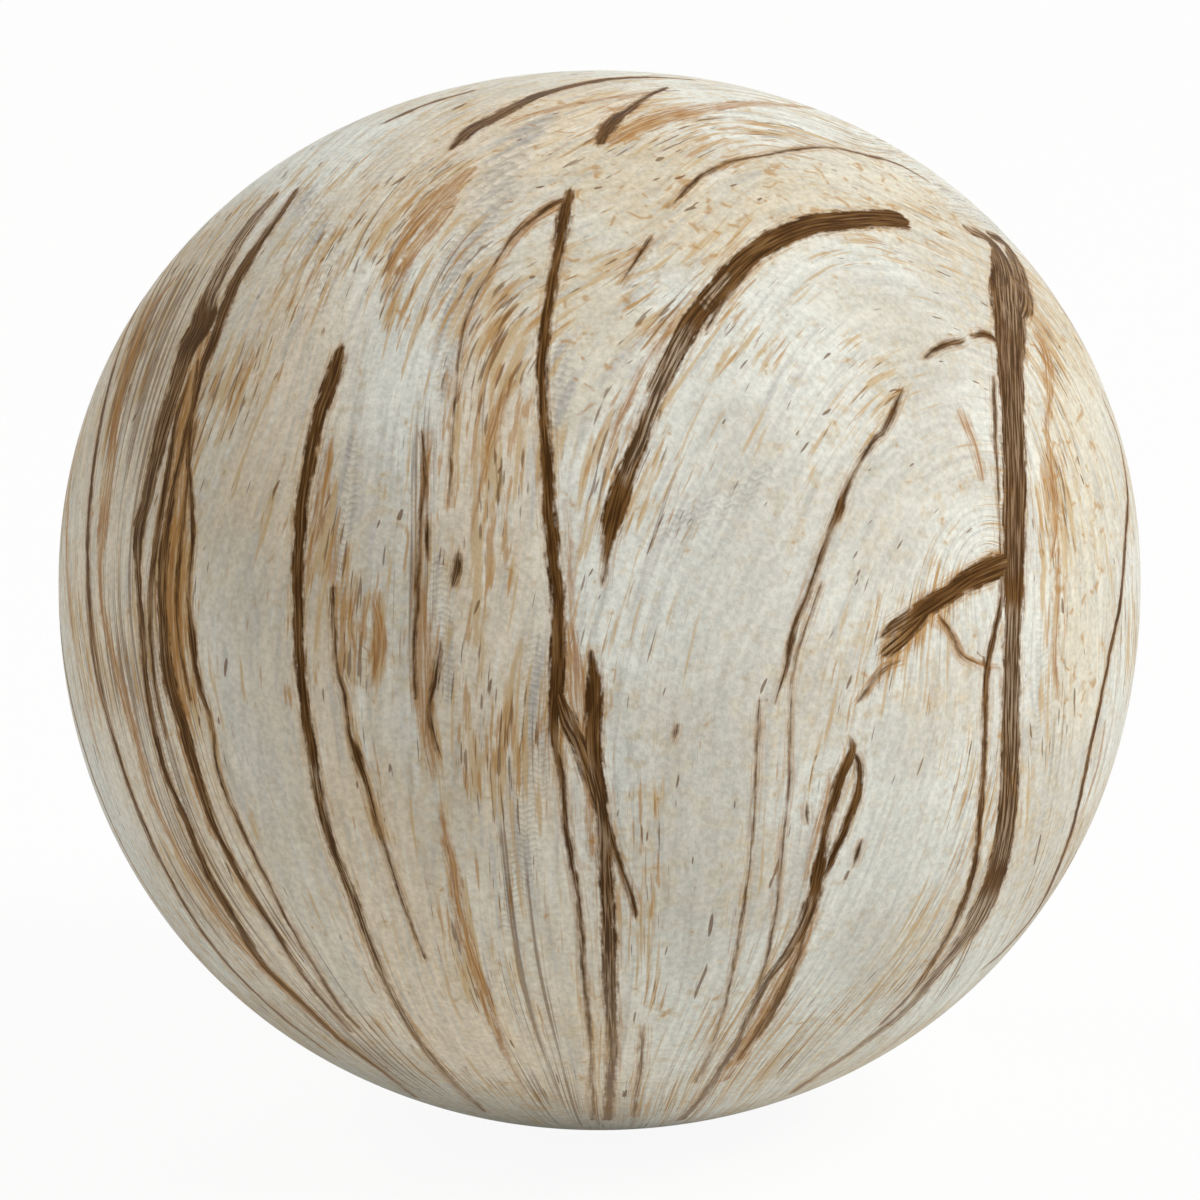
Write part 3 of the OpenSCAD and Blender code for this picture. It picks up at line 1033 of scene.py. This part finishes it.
def closest_sheet(board, shift):
    """The values of whichever dark sheet has its vein nearest."""
    best, best_edge = None, None
    for number in range(TAN_SHEET):
        sheet = board.attribute(f"vein_{number}", "Vector")
        _, across, reach = board.parts(sheet)
        edge = board.minus(board.math("ABSOLUTE", board.math("ADD", across, shift)), reach)
        if best is None:
            best, best_edge = sheet, edge
            continue
        mix = board.node("ShaderNodeMix", data_type="VECTOR")
        board.feed(mix.inputs[0], board.math("LESS_THAN", edge, best_edge))
        board.feed(mix.inputs[4], best)
        board.feed(mix.inputs[5], sheet)
        best, best_edge = mix.outputs[1], board.math("MINIMUM", edge, best_edge)
    return best


def vein_layers(board, vein, colour, place, mottle, stain):
    """Lays the tan bands and then the dark veins over the colour, and gives the dark veins' mask."""
    foot = board.ease(board.parts(place)[2], *FOOT_FADE)
    shift = board.plus(board.noise(place, *SWAYS), VEIN_SWAY, -VEIN_SWAY / 2)
    sheet = board.attribute(f"vein_{TAN_SHEET}", "Vector")
    band = board.group(vein, Sheet=sheet, Shift=shift, Grit=mottle, **BAND_EDGE)
    fibre = band.outputs["Fibre"]
    show = board.times(band.outputs["Core"], board.ease(fibre, 0.36, 0.58, 0.24, 0.90))
    tint = board.blend(board.ease(fibre, 0.4, 0.68), OCHRE, BAND_BROWN)
    colour = board.blend(show, colour, tint)
    sheet = closest_sheet(board, shift)
    dark = board.group(vein, Sheet=sheet, Shift=shift, Grit=mottle, Worn=stain["worn"], **VEIN_EDGE)
    fibre = dark.outputs["Fibre"]
    halo = board.times(dark.outputs["Fringe"], board.plus(stain["tan"], 0.35, 0.45))
    colour = board.blend(halo, colour, OCHRE)
    inner = board.blend(board.ease(fibre, 0.40, 0.60), VEIN_DARK, VEIN_BROWN)
    pale = board.plus(stain["worn"], 0.06, board.plus(stain["beige_and_shade"], 0.04, fibre))
    inner = board.blend(board.ease(pale, 0.58, 0.70, 0.0, 0.75), inner, VEIN_PALE)
    core = board.times(dark.outputs["Core"], foot)
    return board.blend(core, colour, inner), core


def sideways(board, place):
    """The sideways part of a place, laid along y for the strokes."""
    x, y, _ = board.parts(place)
    return board.place(0.0, x, board.times(y, DEPTH_SHARE))


# Radians by which the broad noises are turned, so that none follows an axis.
TURN = (0.6, 0.5, 0.9)
ROUGHNESS = (0.3, 0.7, 0.74, 0.60)
VEIN_SMOOTHER = -0.08
GLOSS = 0.06
RELIEF_STRENGTH = 0.35
RELIEF_DEPTH = 0.00018


def marble_material():
    """Honed marble: pale fibrous ground, tan strokes and dark branching veins."""
    material = bpy.data.materials.new("honed_marble")
    material.use_nodes = True
    board = Board(material.node_tree)
    shader = board.tree.nodes["Principled BSDF"]
    stroke, vein = strokes_group(), vein_group()
    place = board.vector("SCALE", board.node("ShaderNodeTexCoord").outputs["Object"], scale=1 / MM)
    upright = board.vector("MULTIPLY", place, (0.0, DEPTH_SHARE, 1.0))
    run = board.vector("ADD", upright, sideways(board, place))
    grain = board.attribute("grain")
    stain = {kind: board.attribute(f"stain_{kind}") for kind in STAINS}

    def strokes(across, along, seed, detail):
        drawn = dict(Across=across, Along=along, Seed=seed, Detail=detail)
        return board.group(stroke, Grain=grain, Place=run, **drawn).outputs["Value"]

    tilt = board.node("ShaderNodeMapping", vector_type="TEXTURE")
    board.feed(tilt.inputs["Vector"], place)
    tilt.inputs["Rotation"].default_value = TURN
    turned = tilt.outputs[0]
    colour, mottle, fibre, speckle = ground_colour(board, strokes, place, turned, stain)
    colour = stroke_layers(board, strokes, colour, turned, speckle, stain)
    colour, veins = vein_layers(board, vein, colour, place, mottle, stain)
    board.feed(shader.inputs["Base Color"], colour)
    rough = board.ease(fibre, *ROUGHNESS)
    board.feed(shader.inputs["Roughness"], board.plus(veins, VEIN_SMOOTHER, rough))
    bump = board.node("ShaderNodeBump")
    bump.inputs["Strength"].default_value = RELIEF_STRENGTH
    bump.inputs["Distance"].default_value = RELIEF_DEPTH
    board.feed(bump.inputs["Height"], mottle)
    board.feed(shader.inputs["Normal"], bump.outputs[0])
    shader.inputs["Specular IOR Level"].default_value = GLOSS
    return material


# ---- stage, lamps and camera
FLOOR_SIZE = 8.0
FLOOR_TONE = linear(244, 244, 243)
FLOOR_LIFT = 0.93
WHITE = (1.0, 1.0, 1.0, 1.0)
WORLD_FILL = 0.19
# Place and size in metres, power in watts, and colour.
LAMPS = {
    "key": ((1.65, -0.68, 1.98), 1.2, 53.5, (1.0, 0.985, 0.96)),
    "left": ((-1.92, 0.35, 1.72), 1.5, 15.5, (1.0, 0.97, 0.93)),
    "back": ((-0.3, 2.1, 1.4), 1.6, 10.0, (1.0, 0.99, 0.97)),
}


def seen_share(board):
    """1 for camera, mirror and glass rays, and 0 for the light that falls on the ball."""
    path = board.node("ShaderNodeLightPath")
    seen = board.math("MAXIMUM", path.outputs["Is Camera Ray"], path.outputs["Is Glossy Ray"])
    return board.math("MAXIMUM", seen, path.outputs["Is Transmission Ray"])


def floor_material():
    """A pale floor that reads as white and keeps a soft shadow."""
    material = bpy.data.materials.new("pale_floor")
    material.cycles.emission_sampling = "NONE"
    material.use_nodes = True
    board = Board(material.node_tree)
    board.tree.nodes.remove(board.tree.nodes["Principled BSDF"])
    shader = board.node("ShaderNodeBsdfDiffuse")
    shader.inputs["Color"].default_value = FLOOR_TONE
    glow = board.node("ShaderNodeEmission")
    glow.inputs["Color"].default_value = WHITE
    mix = board.node("ShaderNodeMixShader")
    board.feed(mix.inputs[0], board.times(seen_share(board), FLOOR_LIFT))
    board.feed(mix.inputs[1], shader.outputs[0])
    board.feed(mix.inputs[2], glow.outputs[0])
    board.feed(board.tree.nodes["Material Output"].inputs["Surface"], mix.outputs[0])
    return material


def point_at(holder, place, heading):
    """Puts a lamp or the camera at its place, looking along the heading."""
    holder.location = Vector(place)
    holder.rotation_mode = "QUATERNION"
    holder.rotation_quaternion = heading.to_track_quat("-Z", "Y")


def make_floor():
    half = FLOOR_SIZE / 2
    corners = [(-half, -half, 0), (half, -half, 0), (half, half, 0), (-half, half, 0)]
    mesh = bpy.data.meshes.new("floor")
    mesh.from_pydata(corners, [], [(0, 1, 2, 3)])
    floor = placed("floor", mesh)
    floor.location.z = BALL_LOW[2]
    mesh.materials.append(floor_material())


def make_world():
    world = bpy.data.worlds.new("studio")
    bpy.context.scene.world = world
    world.cycles.sampling_method = "NONE"
    world.use_nodes = True
    board = Board(world.node_tree)
    background = world.node_tree.nodes["Background"]
    background.inputs["Color"].default_value = WHITE
    strength = board.plus(seen_share(board), 1 - WORLD_FILL, WORLD_FILL)
    board.feed(background.inputs["Strength"], strength)


def make_lamps():
    aim = Vector((0, 0, HEIGHT / 2 * MM))
    for name, (place, size, power, colour) in LAMPS.items():
        lamp = bpy.data.lights.new(name, "AREA")
        lamp.size = size
        lamp.energy = power
        lamp.color = colour
        holder = placed(name, lamp)
        point_at(holder, place, aim - Vector(place))
        holder.visible_camera = False


def make_camera():
    camera = bpy.data.cameras.new("camera")
    camera.sensor_width = SENSOR
    camera.lens = LENS
    camera.clip_start, camera.clip_end = CAMERA_REACH
    holder = placed("camera", camera)
    point_at(holder, (CENTRE + EYE) * MM, Vector(LOOK))
    bpy.context.scene.camera = holder


make_camera()
make_world()
make_lamps()
make_floor()
marble_ball = make_ball()
marble_ball.data.materials.append(marble_material())
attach(marble_ball, "root")
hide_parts("ball")
bpy.context.scene.view_settings.view_transform = "Standard"
